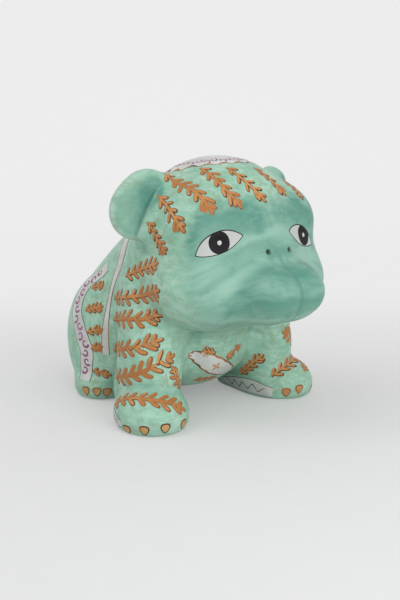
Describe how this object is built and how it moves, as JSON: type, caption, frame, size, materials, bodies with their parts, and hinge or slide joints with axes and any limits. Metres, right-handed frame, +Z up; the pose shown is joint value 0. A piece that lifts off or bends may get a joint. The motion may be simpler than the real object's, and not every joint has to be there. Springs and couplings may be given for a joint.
{
  "type": "porcelain dog figurine",
  "caption": "Hollow hand-painted porcelain dog of bulldog type, crouched on splayed paws, a free-standing ornament for a shelf or table.",
  "frame": {"origin": "on the floor under the middle of the figure's overall width and length", "axes": "+Z up from the floor, +Y from nose to tail along the length, +X towards the dog's left side"},
  "size_m": [0.1704, 0.2258, 0.1775],
  "materials": {
    "body_glaze": "mint green enamel over white porcelain, satin gloss, hand brushed",
    "face_glaze": "teal green enamel brushed over the mint ground, satin gloss",
    "ear_glaze": "teal green enamel, darker in the ear's hollow, satin gloss",
    "leaf_enamel": "orange-brown overglaze enamel with a dark brown outline",
    "white_reserve": "bare white glaze left in reserve, with fine painted scrolls",
    "eye_enamel": "black and white overglaze enamel, glossy",
    "claw_gilding": "burnished gold lustre with a dark outline"
  },
  "bodies": {
    "root": {"torso_shell": "body_glaze", "head_shell": "face_glaze", "right_ear": "ear_glaze", "left_ear": "ear_glaze", "right_foreleg": "body_glaze", "left_foreleg": "body_glaze", "right_hind_leg": "body_glaze", "left_hind_leg": "body_glaze", "tail_stub": "body_glaze"}
  },
  "joints": []
}
